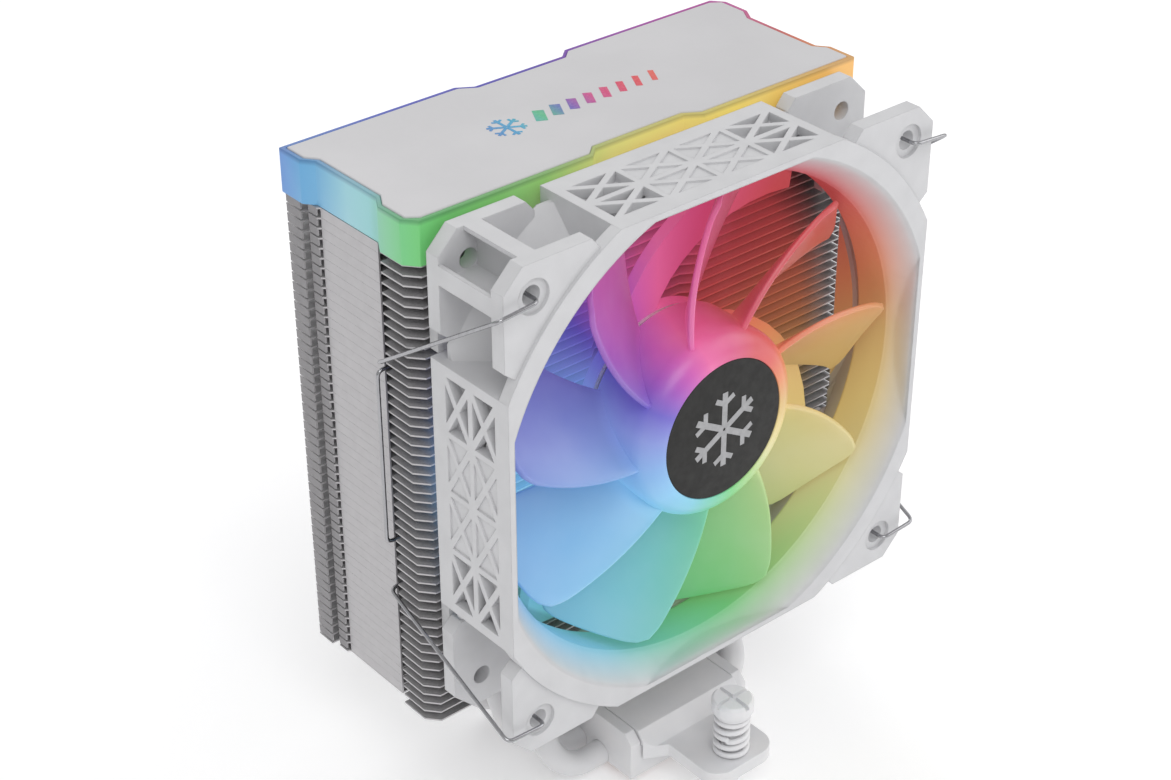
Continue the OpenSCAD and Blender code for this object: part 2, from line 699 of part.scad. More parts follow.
shaft_back = 2.2;
module rotor_shaft() color([0.75, 0.75, 0.77]) fan_place() difference() {
    translate([0, 0, shaft_back]) cylinder(r = shaft_r, h = hub_front - 2.2 - shaft_back, $fn = 48);
    translate([0, 0, 3]) difference() {
        cylinder(r = 3, h = 0.6, $fn = 48);
        translate([0, 0, -1]) cylinder(r = 1.2, h = 3, $fn = 48);
    }
}

module shaft_retainer() color([0.9, 0.9, 0.88]) fan_place() translate([0, 0, 3.08]) difference() {
    cylinder(r = 2.3, h = 0.44, $fn = 48);
    translate([0, 0, -1]) cylinder(r = 1.21, h = 3, $fn = 48);
}

module hub_badge() color([0.14, 0.14, 0.13]) fan_place()
    translate([0, 0, hub_front - 1]) cylinder(r = badge_r, h = 1, $fn = 96);

// ---- Wire clips ----
wire_r = 0.45;
hook_x = 52.7;
hook_z = 52.4;
clip_x = 62.9;
clip_front_y = fan_front_y - 1.1;
hook_in_y = fan_front_y + 3.6;
loop_half = 21.8;
catch_top = 23.8;
catch_low = -34.6;

// Clip in the left hole pair; the groove it holds is at groove_y, its depth at groove_x
module clip(groove_y, groove_x) {
    translate([0, 0, fan_z]) wire(rounded([
        [-hook_x, hook_in_y, hook_z], [-hook_x, clip_front_y, hook_z],
        [-clip_x, clip_front_y, hook_z - 0.8], [-clip_x, groove_y, catch_top],
        [-groove_x, groove_y, catch_top - 0.6], [-groove_x, groove_y, loop_half],
        [-clip_x - 0.2, groove_y, loop_half], [-clip_x - 0.2, groove_y, -loop_half],
        [-groove_x, groove_y, -loop_half], [-groove_x, groove_y, catch_low + 0.6],
        [-clip_x, groove_y, catch_low], [-clip_x, clip_front_y, 0.6 - hook_z],
        [-hook_x, clip_front_y, -hook_z], [-hook_x, hook_in_y, -hook_z]
    ], 1.6), wire_r);
}

module left_wire_clip() color([0.7, 0.7, 0.72]) clip(tower_y - 10.1, 58.2);
module right_wire_clip() color([0.7, 0.7, 0.72]) mirror([1, 0, 0]) clip(tower_y - 15.75, 60.3);

// ---- Nodes ----
front_y = -screw_spacing / 2;
rear_y = screw_spacing / 2;

cold_plate();
base_block();
for (i = [1 : pipe_count]) heat_pipe(i);
fin_stack();
fin_rubber_strips();
crossbar();
crossbar_screws();
spring_screw(front_y);  // front_spring_screw
compression_spring(front_y);  // front_spring
retaining_ring(front_y);  // front_retaining_ring
spring_screw(rear_y);  // rear_spring_screw
compression_spring(rear_y);  // rear_spring
retaining_ring(rear_y);  // rear_retaining_ring
cover_tray();
light_diffuser();
cover_led_board();
cover_screws();
top_plate();
fan_frame();
bearing_tube();
bearing_sleeve();
stator_core();
stator_coils();
motor_board();
led_board();
impeller();
rotor_yoke();
magnet_ring();
rotor_shaft();
shaft_retainer();
hub_badge();
left_wire_clip();
right_wire_clip();
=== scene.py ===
"""CPU tower cooler with a lit fan and a lit cover: its looks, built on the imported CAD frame.

Everything is in metres in the CAD's row frame: the cold plate's contact face is at z = 0, the fan faces -Y.
"""
import json
import math

import bmesh
import bpy
from mathutils import Matrix, Vector

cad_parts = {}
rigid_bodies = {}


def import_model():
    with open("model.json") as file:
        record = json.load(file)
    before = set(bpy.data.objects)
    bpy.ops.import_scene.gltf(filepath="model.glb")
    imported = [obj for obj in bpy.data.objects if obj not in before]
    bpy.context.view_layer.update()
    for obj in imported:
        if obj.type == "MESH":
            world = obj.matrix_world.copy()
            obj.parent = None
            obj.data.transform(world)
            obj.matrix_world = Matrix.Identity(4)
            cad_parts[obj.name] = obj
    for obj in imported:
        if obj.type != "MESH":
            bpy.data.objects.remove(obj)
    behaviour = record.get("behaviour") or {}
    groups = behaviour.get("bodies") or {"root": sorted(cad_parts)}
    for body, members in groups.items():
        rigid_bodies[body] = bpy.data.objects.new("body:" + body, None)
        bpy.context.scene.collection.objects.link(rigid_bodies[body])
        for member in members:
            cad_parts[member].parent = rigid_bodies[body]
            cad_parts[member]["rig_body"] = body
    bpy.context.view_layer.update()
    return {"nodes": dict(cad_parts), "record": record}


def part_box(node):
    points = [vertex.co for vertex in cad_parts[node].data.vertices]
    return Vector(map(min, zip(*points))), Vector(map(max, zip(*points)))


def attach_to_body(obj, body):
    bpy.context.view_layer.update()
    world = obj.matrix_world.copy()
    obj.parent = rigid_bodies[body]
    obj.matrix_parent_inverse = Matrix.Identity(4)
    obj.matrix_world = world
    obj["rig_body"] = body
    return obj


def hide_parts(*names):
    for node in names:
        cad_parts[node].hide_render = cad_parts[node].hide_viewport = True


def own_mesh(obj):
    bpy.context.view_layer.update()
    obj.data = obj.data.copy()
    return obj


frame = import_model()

MM = 0.001
TAU = 2 * math.pi

# ---------------------------------------------------------------- places taken from the frame
fan_low, fan_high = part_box("fan_frame")
badge_low, badge_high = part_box("hub_badge")
rotor_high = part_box("impeller")[1]
cover_low, cover_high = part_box("light_diffuser")
plate_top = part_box("top_plate")[1].z
fins_low, fins_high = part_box("fin_stack")
FAN_Z = (fan_low.z + fan_high.z) / 2
FAN_FRONT = fan_low.y
BLADE_TIP = rotor_high.x
COVER_Y = (cover_low.y + cover_high.y) / 2
COVER_HALF = (cover_high - cover_low) / 2

# Outer limits of the fan frame's lit wall: the duct, and the bell mouths at the front and the back
DUCT_R = 57.7 * MM
FRONT_MOUTH_R = 62.8 * MM
FRONT_MOUTH_DEPTH = 7.5 * MM
REAR_MOUTH_R = 62 * MM
REAR_MOUTH_DEPTHS = (18 * MM, 25 * MM)  # where it begins and ends, behind the frame's front
MOUTH_HALF = 58.7 * MM         # the mouths are cut off flat at this distance from the fan's centre lines

# Hub of the rotor, with its depths measured back from the frame's front
HUB_R = 22.5 * MM
HUB_ROUND = 5.5 * MM
HUB_WALL = 2.4 * MM
HUB_FACE = 2.1 * MM            # thickness of the hub's flat face, with the badge's seat
HUB_FRONT = badge_low.y - FAN_FRONT
HUB_BACK = rotor_high.y - FAN_FRONT
BADGE_R = badge_high.x
BADGE_DEPTH = 1 * MM
BADGE_GAP = 0.06 * MM          # between the badge and the edge of its seat


def rgb(red, green, blue):
    """Linear colour from the usual 0 to 255 numbers."""
    values = [c / 255 for c in (red, green, blue)]
    return tuple(c / 12.92 if c < 0.04045 else ((c + 0.055) / 1.055) ** 2.4 for c in values) + (1.0,)


# ---------------------------------------------------------------- materials
BLACK = (0, 0, 0, 1)
EASE_SAMPLES = 6


class Paint:
    """One procedural material: a Principled shader and small helpers that add nodes to it."""

    def __init__(self, name, roughness=0.45, metallic=0.0):
        self.material = bpy.data.materials.new(name)
        self.material.use_nodes = True
        self.tree = self.material.node_tree
        self.shader = self.tree.nodes["Principled BSDF"]
        self.set("Roughness", roughness)
        self.set("Metallic", metallic)

    def set(self, socket, value):
        """Sets a socket of the shader, to a constant or to what another node gives."""
        self.put(self.shader.inputs[socket], value)

    def put(self, socket, value):
        if isinstance(value, bpy.types.NodeSocket):
            self.tree.links.new(value, socket)
        else:
            socket.default_value = value

    def node(self, kind, **settings):
        made = self.tree.nodes.new(kind)
        for key, value in settings.items():
            setattr(made, key, value)
        return made

    def place(self):
        """The point being shaded, in the frame's metres."""
        return self.node("ShaderNodeTexCoord").outputs["Object"]

    def split(self, vector):
        made = self.node("ShaderNodeSeparateXYZ")
        self.put(made.inputs[0], vector)
        return made.outputs

    def stretched(self, scale):
        made = self.node("ShaderNodeMapping")
        self.put(made.inputs["Vector"], self.place())
        made.inputs["Scale"].default_value = scale
        return made.outputs[0]

    def math(self, operation, a, b=0.0):
        made = self.node("ShaderNodeMath", operation=operation)
        self.put(made.inputs[0], a)
        self.put(made.inputs[1], b)
        return made.outputs[0]

    def noise(self, size, detail=2.0, vector=None):
        """Noise with features of about this size, in metres."""
        made = self.node("ShaderNodeTexNoise")
        self.put(made.inputs["Vector"], vector or self.place())
        made.inputs["Scale"].default_value = 1 / size
        made.inputs["Detail"].default_value = detail
        return made.outputs["Fac"]

    def span(self, value, low, high, to_low=0.0, to_high=1.0):
        """The value's place between low and high, carried over to another range and held at its ends."""
        made = self.node("ShaderNodeMapRange")
        for socket, number in zip(made.inputs, (value, low, high, to_low, to_high)):
            self.put(socket, number)
        return made.outputs[0]

    def ramp(self, value, stops):
        made = self.node("ShaderNodeValToRGB")
        self.put(made.inputs[0], value)
        elements = made.color_ramp.elements
        while len(elements) < len(stops):
            elements.new(0.5)
        for element, (position, colour) in zip(elements, stops):
            element.position = position
            element.color = colour
        return made.outputs[0]

    def mix(self, share, a, b, blend="MIX"):
        made = self.node("ShaderNodeMix", data_type="RGBA", blend_type=blend)
        self.put(made.inputs[0], share)
        self.put(made.inputs[6], a)
        self.put(made.inputs[7], b)
        return made.outputs[2]

    def bump(self, height, depth, under=None):
        made = self.node("ShaderNodeBump")
        self.put(made.inputs["Height"], height)
        made.inputs["Distance"].default_value = depth
        if under:
            self.put(made.inputs["Normal"], under)
        return made.outputs[0]

    def eased(self, radius):
        """Normal that turns over sharp edges within this radius."""
        made = self.node("ShaderNodeBevel", samples=EASE_SAMPLES)
        self.put(made.inputs["Radius"], radius)
        return made.outputs[0]

    def turn(self, centre_a, centre_b, axes, stretch=1.0):
        """Angle around a centre, as 0 to 1 with 0.5 at the first axis; axes are 0, 1 or 2."""
        xyz = self.split(self.place())
        a = self.math("SUBTRACT", xyz[axes[0]], centre_a)
        b = self.math("MULTIPLY", self.math("SUBTRACT", xyz[axes[1]], centre_b), stretch)
        angle = self.math("ARCTAN2", b, a)
        return self.math("ADD", self.math("DIVIDE", angle, TAU), 0.5)

    def distance(self, centre_a, centre_b, axes):
        """Distance from a centre in the plane of two axes."""
        xyz = self.split(self.place())
        a = self.math("SUBTRACT", xyz[axes[0]], centre_a)
        b = self.math("SUBTRACT", xyz[axes[1]], centre_b)
        squares = self.math("ADD", self.math("MULTIPLY", a, a), self.math("MULTIPLY", b, b))
        return self.math("SQRT", squares)

    def mottled(self, colour, other, size, detail=3.0):
        """Two close colours in soft patches of about this size."""
        share = self.span(self.noise(size, detail), 0.35, 0.65)
        return self.mix(share, colour, other)

    def grain(self, size, depth, rough_low, rough_high, under=None):
        """Fine surface texture: a bump, and a roughness that follows a coarser noise."""
        self.set("Normal", self.bump(self.noise(size), depth, under))
        self.set("Roughness", self.span(self.noise(size * 6), 0.3, 0.7, rough_low, rough_high))

    def glow(self, share, colour, strength):
        """Light of this colour, given off by the share of the surface that is lit."""
        self.set("Emission Color", self.mix(share, BLACK, colour))
        self.set("Emission Strength", strength)


# Colours of the lit rotor around the fan's axis, by angle in degrees from +X towards the top
FAN_RING = [
    (0, rgb(192, 160, 104)), (20, rgb(202, 128, 92)), (42, rgb(192, 88, 84)), (62, rgb(186, 76, 84)),
    (84, rgb(190, 76, 118)), (104, rgb(204, 98, 148)), (120, rgb(178, 84, 160)), (135, rgb(143, 82, 168)),
    (150, rgb(98, 88, 176)), (168, rgb(118, 132, 192)), (190, rgb(114, 156, 202)), (215, rgb(126, 179, 212)),
    (240, rgb(116, 180, 198)), (258, rgb(104, 180, 160)), (280, rgb(106, 182, 114)),
    (300, rgb(152, 186, 122)), (322, rgb(196, 190, 138)), (342, rgb(200, 180, 118)),
]
# Colours of the lit cover around its centre, by angle in degrees from +X towards the rear
COVER_RING = [
    (0, rgb(208, 96, 96)), (26, rgb(208, 96, 140)), (52, rgb(190, 84, 168)), (84, rgb(104, 80, 178)),
    (120, rgb(82, 96, 190)), (146, rgb(92, 150, 192)), (176, rgb(136, 184, 194)), (196, rgb(130, 186, 188)),
    (212, rgb(112, 180, 140)), (226, rgb(102, 182, 108)), (246, rgb(140, 188, 108)),
    (262, rgb(198, 200, 116)), (292, rgb(224, 206, 110)), (318, rgb(228, 170, 100)), (340, rgb(222, 122, 84)),
]
# Strength of the rotor's light on the fins, by angle around the fan's axis
FIN_GLOW = [(angle, (share, share, share, 1.0)) for angle, share in
            ((0, 0.2), (40, 0.34), (80, 0.5), (120, 0.6), (180, 0.6), (250, 0.5), (320, 0.24))]


def around(ring):
    """Ramp stops for Paint.turn from a ring of (degrees, colour), closed where the two ends meet."""
    stops = sorted(((degrees / 360 + 0.5) % 1.0, colour) for degrees, colour in ring)
    first, last = stops[0], stops[-1]
    share = (1 - last[0]) / (1 - last[0] + first[0])
    seam = tuple(a + (b - a) * share for a, b in zip(last[1], first[1]))
    return [(0.0, seam)] + stops + [(1.0, seam)]


FAN_COLOUR_LEAD = 17 / 360     # how far the colours are ahead on the fins, as a share of a turn
LEAD_DEPTHS = (10 * MM, 27 * MM)  # behind the fan's front, where the lead begins and is full


def fan_colour(paint):
    """The ring of colours, turned a little further the deeper a surface lies behind the fan's front."""
    depth = paint.math("SUBTRACT", paint.split(paint.place())[1], FAN_FRONT)
    lead = paint.span(depth, *LEAD_DEPTHS, 0.0, FAN_COLOUR_LEAD)
    turn = paint.math("FRACT", paint.math("ADD", paint.turn(0.0, FAN_Z, (0, 2)), lead))
    return paint.ramp(turn, around(FAN_RING))


def cover_colour(paint):
    """The cover's ring of colours, stretched to its oblong outline."""
    stretch = COVER_HALF.x / COVER_HALF.y
    return paint.ramp(paint.turn(0.0, COVER_Y, (0, 1), stretch), around(COVER_RING))


def white_paint(name, tone, size=0.5 * MM):
    """Powder coat, a little uneven in tone, with grain of this size."""
    paint = Paint(name)
    darker, lighter = rgb(tone, tone, tone + 2), rgb(tone + 5, tone + 4, tone + 5)
    paint.set("Base Color", paint.mottled(darker, lighter, 9 * MM))
    paint.grain(size, 0.012 * MM, 0.34, 0.46)
    paint.set("Coat Weight", 0.15)
    paint.set("Coat Roughness", 0.25)
    return paint.material


REAR_TABS = 10.4 * MM          # depth of the side tabs whose sideways faces are painted darker as shade, from the back of the fins
TAB_BLEND = 0.6 * MM
FIN_LIGHT_REACH = 10 * MM      # how deep the rotor's light goes in between the fins


def fin_metal():
    """Thin coated sheet: speckled flats, a painted highlight on the cut edges, painted shade on the rear tabs
    and the rotor's light.
    """
    paint = Paint("fin metal")
    flats = paint.mottled(rgb(170, 168, 170), rgb(184, 183, 184), 0.45 * MM, 4.0)
    normal = paint.split(paint.node("ShaderNodeNewGeometry").outputs["Normal"])
    # Faces that are not flat, the fins' cut edges, are painted lighter as a highlight.
    edges = paint.span(paint.math("ABSOLUTE", normal[2]), 0.3, 0.7, 1.0, 0.0)
    # The sideways faces of the rear tabs get painted shade in place of that highlight.
    sideways = paint.span(paint.math("ABSOLUTE", normal[0]), 0.5, 0.8)
    depth = paint.split(paint.place())[1]
    tabs_from = fins_high.y - REAR_TABS
    rear = paint.math("MULTIPLY", paint.span(depth, tabs_from, tabs_from + TAB_BLEND), sideways)
    edge_highlight_and_shade = paint.mix(rear, rgb(188, 186, 188), rgb(140, 138, 140))
    colour = paint.mix(edges, flats, edge_highlight_and_shade)
    inside = paint.span(paint.distance(0.0, FAN_Z, (0, 2)), 50 * MM, 60 * MM, 1.0, 0.0)
    front = paint.span(depth, fins_low.y, fins_low.y + FIN_LIGHT_REACH, 1.0, 0.0)
    lit = paint.math("MULTIPLY", inside, front)
    light = fan_colour(paint)
    paint.set("Base Color", paint.mix(paint.math("MULTIPLY", lit, 0.85), colour, light))
    paint.glow(lit, light, paint.ramp(paint.turn(0.0, FAN_Z, (0, 2)), around(FIN_GLOW)))
    paint.grain(0.35 * MM, 0.015 * MM, 0.36, 0.52)
    paint.set("Metallic", 0.35)
    return paint.material


def fan_plastic():
    """Fine matt plastic, with the rotor's light on the duct, the bell mouths and the struts."""
    paint = Paint("fan plastic")
    plain = paint.mottled(rgb(203, 203, 205), rgb(208, 208, 210), 6 * MM)
    xyz = paint.split(paint.place())
    depth = paint.math("SUBTRACT", xyz[1], FAN_FRONT)
    reach = paint.distance(0.0, FAN_Z, (0, 2))
    across = paint.math("ABSOLUTE", xyz[0])
    height = paint.math("ABSOLUTE", paint.math("SUBTRACT", xyz[2], FAN_Z))
    within = paint.math("LESS_THAN", paint.math("MAXIMUM", across, height), MOUTH_HALF)
    front = paint.span(depth, 0.0, FRONT_MOUTH_DEPTH, FRONT_MOUTH_R, DUCT_R)
    rear = paint.span(depth, *REAR_MOUTH_DEPTHS, DUCT_R, REAR_MOUTH_R)
    wall = paint.math("LESS_THAN", reach, paint.math("MAXIMUM", front, rear))
    deep = paint.span(depth, 0.5 * MM, 8 * MM, 0.0, 0.94)
    lit = paint.math("MULTIPLY", paint.math("MULTIPLY", wall, within), deep)
    light = fan_colour(paint)
    paint.set("Base Color", paint.mix(lit, plain, light))
    paint.glow(lit, light, paint.span(reach, 56 * MM, 57 * MM, 0.62, 0.3))
    mouth = paint.math("MULTIPLY", within, paint.math("LESS_THAN", reach, front))
    mouth = paint.math("MULTIPLY", mouth, paint.math("GREATER_THAN", reach, DUCT_R - 0.2 * MM))
    easing = paint.span(mouth, 0.0, 1.0, 0.35 * MM, 3 * MM)
    paint.grain(0.25 * MM, 0.01 * MM, 0.42, 0.55, paint.eased(easing))
    return paint.material


def frosted_rotor():
    """Frosted translucent plastic lit from the hub, in a ring of colours."""
    paint = Paint("frosted rotor", roughness=0.3)
    colour = fan_colour(paint)
    cloud = paint.span(paint.noise(14 * MM, 3.0), 0.3, 0.7, 0.0, 0.06)
    colour = paint.mix(cloud, colour, rgb(225, 225, 235))
    paint.set("Base Color", colour)
    paint.set("Emission Color", colour)
    reach = paint.distance(0.0, FAN_Z, (0, 2))
    paint.set("Emission Strength", paint.span(reach, HUB_R - 0.5 * MM, HUB_R + 3.5 * MM, 0.4, 0.26))
    paint.set("Subsurface Weight", 0.25)
    paint.set("Subsurface Radius", (1.0, 1.0, 1.0))
    paint.set("Subsurface Scale", 2 * MM)
    paint.set("Normal", paint.bump(paint.noise(0.3 * MM), 0.006 * MM))
    return paint.material


def frosted_band():
    """Frosted translucent band of the cover, lit from inside."""
    paint = Paint("frosted band", roughness=0.35)
    colour = cover_colour(paint)
    height = paint.split(paint.place())[2]
    rim = paint.span(height, cover_high.z - 1.2 * MM, cover_high.z - 0.3 * MM)
    darker = paint.mix(1.0, colour, rgb(205, 205, 215), "MULTIPLY")
    colour = paint.mix(rim, colour, darker)
    paint.set("Base Color", colour)
    paint.set("Emission Color", colour)
    paint.set("Emission Strength", 0.3)
    paint.set("Normal", paint.bump(paint.noise(0.3 * MM), 0.006 * MM))
    return paint.material


def plate_paint():
    """Fine satin finish of the top plate."""
    paint = Paint("top plate satin")
    paint.set("Base Color", paint.mottled(rgb(201, 200, 202), rgb(205, 204, 206), 22 * MM, 2.0))
    paint.grain(0.2 * MM, 0.006 * MM, 0.4, 0.48)
    return paint.material


def emblem_paint():
    """Printed decoration of the top plate, blue to red along the plate."""
    paint = Paint("printed colours", roughness=0.4)
    along = paint.span(paint.split(paint.place())[0], -26 * MM, 25 * MM)
    ink = paint.ramp(along, [
        (0.0, rgb(70, 120, 190)), (0.14, rgb(60, 160, 200)), (0.3, rgb(80, 180, 130)),
        (0.42, rgb(90, 90, 180)), (0.58, rgb(200, 60, 130)), (0.78, rgb(214, 62, 84)),
        (1.0, rgb(224, 96, 70)),
    ])
    worn = paint.span(paint.noise(0.4 * MM), 0.4, 0.6, 0.0, 0.06)
    paint.set("Base Color", paint.mix(worn, ink, rgb(255, 255, 255)))
    paint.set("Normal", paint.bump(paint.noise(0.3 * MM), 0.004 * MM))
    return paint.material


def bare_metal(name, colour, roughness, stretch=(1, 1, 1), size=0.4 * MM):
    """Bright metal with fine drawn or turned marks along the stretched axis."""
    paint = Paint(name, metallic=1.0)
    marks = paint.noise(size, 3.0, paint.stretched(stretch))
    share = paint.span(marks, 0.3, 0.7, 0.0, 0.35)
    darker = tuple(c * 0.6 for c in colour[:3]) + (1.0,)
    paint.set("Base Color", paint.mix(share, colour, darker))
    paint.set("Roughness", paint.span(marks, 0.3, 0.7, roughness * 0.8, roughness * 1.3))
    paint.set("Normal", paint.bump(marks, 0.004 * MM))
    return paint.material


def plain_plastic(name, colour, other, size, rough=(0.4, 0.55)):
    """Moulded plastic or rubber in two close tones, with a fine grain."""
    paint = Paint(name)
    paint.set("Base Color", paint.mottled(colour, other, size))
    paint.grain(0.3 * MM, 0.01 * MM, *rough)
    return paint.material


def coil_wire():
    """Enamelled copper wire wound in fine turns."""
    paint = Paint("coil wire", metallic=0.8)
    wave = paint.node("ShaderNodeTexWave", wave_type="BANDS", bands_direction="DIAGONAL")
    paint.put(wave.inputs["Vector"], paint.place())
    wave.inputs["Scale"].default_value = 1 / MM
    turns = wave.outputs["Fac"]
    paint.set("Base Color", paint.ramp(turns, [(0.0, rgb(110, 52, 24)), (1.0, rgb(214, 126, 70))]))
    paint.set("Normal", paint.bump(turns, 0.08 * MM))
    return paint.material


def circuit_board(name, mask, track):
    """Solder mask with fine tracks under it."""
    paint = Paint(name, roughness=0.3)
    cells = paint.node("ShaderNodeTexVoronoi", feature="DISTANCE_TO_EDGE", distance="MANHATTAN")
    paint.put(cells.inputs["Vector"], paint.place())
    cells.inputs["Scale"].default_value = 1 / (2.2 * MM)
    lines = paint.span(cells.outputs["Distance"], 0.03, 0.06, 1.0, 0.0)
    paint.set("Base Color", paint.mix(lines, mask, track))
    paint.set("Normal", paint.bump(lines, 0.03 * MM))
    return paint.material


def floor_paint():
    """Plain pale studio floor that gives off a little light of its own."""
    paint = Paint("pale floor", roughness=0.6)
    paint.set("Base Color", paint.mottled(rgb(246, 246, 247), rgb(249, 249, 249), 0.2))
    paint.set("Normal", paint.bump(paint.noise(1 * MM), 0.01 * MM))
    paint.set("Emission Color", (1, 1, 1, 1))
    paint.set("Emission Strength", 0.2)
    return paint.material


MATERIALS = {
    "base paint": white_paint("base paint", 222),
    "pipe paint": white_paint("pipe paint", 222),
    "screw paint": white_paint("screw paint", 226, 0.3 * MM),
    "fins": fin_metal(),
    "fan": fan_plastic(),
    "rotor": frosted_rotor(),
    "band": frosted_band(),
    "plate": plate_paint(),
    "emblem": emblem_paint(),
    "copper": bare_metal("lapped copper", rgb(196, 124, 92), 0.25, (1, 30, 1)),
    "steel": bare_metal("plain steel", rgb(168, 168, 172), 0.3),
    "wire": bare_metal("bright wire", rgb(172, 172, 175), 0.14, (1, 1, 0.1), 0.6 * MM),
    "brass": bare_metal("turned brass", rgb(200, 164, 88), 0.28, (1, 20, 1)),
    "lamination": bare_metal("stator steel", rgb(104, 104, 110), 0.4, (1, 20, 1)),
    "magnet": plain_plastic("magnet", rgb(44, 44, 48), rgb(58, 58, 62), 1 * MM),
    "rubber": plain_plastic("white rubber", rgb(196, 196, 198), rgb(206, 206, 207), 2 * MM, (0.6, 0.75)),
    "tray": plain_plastic("cover tray", rgb(204, 204, 206), rgb(210, 210, 211), 5 * MM),
    "badge": plain_plastic("badge", rgb(17, 16, 14), rgb(24, 23, 21), 2 * MM, (0.55, 0.66)),
    "badge mark": plain_plastic("badge mark", rgb(158, 158, 160), rgb(168, 168, 170), 1 * MM),
    "coil": coil_wire(),
    "green board": circuit_board("green board", rgb(24, 96, 56), rgb(40, 124, 74)),
    "white board": circuit_board("white board", rgb(228, 228, 222), rgb(212, 212, 206)),
    "floor": floor_paint(),
}


# ---------------------------------------------------------------- mesh helpers
def add_object(name, mesh, material):
    """Puts a mesh in the scene as an object of one material."""
    made = bpy.data.objects.new(name, mesh)
    bpy.context.scene.collection.objects.link(made)
    mesh.materials.clear()
    mesh.materials.append(MATERIALS[material])
    return made


SHARP_ANGLE = math.radians(35)


def smooth(mesh):
    """Shades a mesh smooth, except over edges sharper than the angle above."""
    for polygon in mesh.polygons:
        polygon.use_smooth = True
    mesh.set_sharp_from_angle(angle=SHARP_ANGLE)


def made_mesh(name, points, faces):
    """A smooth mesh with its faces turned outwards."""
    mesh = bpy.data.meshes.new(name)
    mesh.from_pydata([tuple(p) for p in points], [], faces)
    mesh.validate()
    work = bmesh.new()
    work.from_mesh(mesh)
    bmesh.ops.recalc_face_normals(work, faces=work.faces)
    work.to_mesh(mesh)
    work.free()
    smooth(mesh)
    return mesh


def attach(piece, body, slot, *nodes):
    """Gives a piece its body, and hides the CAD nodes that it stands for, if any. The slot is not used."""
    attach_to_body(piece, body)
    if nodes:
        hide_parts(*nodes)


def body_of_node(node):
    return frame["nodes"][node]["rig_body"]


def slot_of_node(node):
    for part in frame["record"]["subparts"]:
        if part["node"] == node:
            return part["material_slot"]
    raise KeyError(node)


def bevel(piece, width, segments, angle):
    """Eases the edges of a piece that turn by more than this angle, in degrees."""
    ease = piece.modifiers.new("ease", "BEVEL")
    ease.width = width
    ease.segments = segments
    ease.limit_method = "ANGLE"
    ease.angle_limit = math.radians(angle)
    return ease


WELD = 0.002 * MM
FLAT_ANGLE = math.radians(0.6)  # neighbouring triangles within this angle are one flat face


def eased_copy(node, material, width, lower=0.0):
    """A copy of a CAD node with its sharp edges eased, standing in for that node."""
    work = bmesh.new()
    work.from_mesh(frame["nodes"][node].data)
    bmesh.ops.remove_doubles(work, verts=work.verts, dist=WELD)
    bmesh.ops.dissolve_limit(work, angle_limit=FLAT_ANGLE, verts=work.verts, edges=work.edges)
    if lower:
        top = max(v.co.z for v in work.verts)
        for vert in work.verts:
            if vert.co.z > top - 0.01 * MM:
                vert.co.z -= lower
    mesh = bpy.data.meshes.new("eased_" + node)
    work.to_mesh(mesh)
    work.free()
    piece = add_object("eased_" + node, mesh, material)
    bevel(piece, width, 2, 32).miter_outer = "MITER_ARC"
    smooth(mesh)
    attach(piece, body_of_node(node), slot_of_node(node), node)


def tube(name, path, radius, material, sides=14):
    """Round wire along a path of points, with closed ends."""
    count = len(path)
    ways = [(path[min(i + 1, count - 1)] - path[max(i - 1, 0)]).normalized() for i in range(count)]
    side = ways[0].orthogonal().normalized()
    points, faces = [], []
    for place, way in zip(path, ways):
        side = (side - way * side.dot(way)).normalized()
        other = way.cross(side)
        for k in range(sides):
            turn = TAU * k / sides
            points.append(place + radius * (math.cos(turn) * side + math.sin(turn) * other))
    for i in range(count - 1):
        for k in range(sides):
            a, b = i * sides + k, i * sides + (k + 1) % sides
            faces.append((a, b, b + sides, a + sides))
    faces.append(tuple(range(sides)))
    faces.append(tuple(range((count - 1) * sides, count * sides)))
    return add_object(name, made_mesh(name, points, faces), material)


def rounded_path(corners, reach, steps=6):
    """The corners joined by straight lines, each inner corner rounded over this reach."""
    path = [corners[0]]
    for before, here, after in zip(corners, corners[1:], corners[2:]):
        short = min(reach, 0.45 * (here - before).length, 0.45 * (after - here).length)
        start = here + short * (before - here).normalized()
        end = here + short * (after - here).normalized()
        for k in range(steps + 1):
            s = k / steps
            path.append((1 - s) ** 2 * start + 2 * s * (1 - s) * here + s * s * end)
    return path + [corners[-1]]


def fan_point(radius, turn, depth):
    """A point by its radius and angle around the fan's axis, and its depth behind the fan's front."""
    return Vector((radius * math.cos(turn), FAN_FRONT + depth, FAN_Z + radius * math.sin(turn)))


LATHE_SIDES = 128


def lathe(name, profile, material):
    """A profile of (radius, depth behind the fan's front) turned about the fan's axis."""
    points, faces, rings = [], [], []
    for radius, depth in profile:
        if radius == 0:
            rings.append([len(points)] * LATHE_SIDES)
            points.append(fan_point(0, 0, depth))
            continue
        rings.append(list(range(len(points), len(points) + LATHE_SIDES)))
        points += [fan_point(radius, TAU * k / LATHE_SIDES, depth) for k in range(LATHE_SIDES)]
    for low, high in zip(rings, rings[1:]):
        for k in range(LATHE_SIDES):
            j = (k + 1) % LATHE_SIDES
            corners = [low[k], low[j], high[j], high[k]]
            faces.append(tuple(dict.fromkeys(corners)))
    return add_object(name, made_mesh(name, points, faces), material)


def arc(centre, radius, start, end, steps):
    """Points of an arc in the plane, angles in degrees."""
    turns = [math.radians(start + (end - start) * k / steps) for k in range(steps + 1)]
    return [(centre[0] + radius * math.cos(t), centre[1] + radius * math.sin(t)) for t in turns]


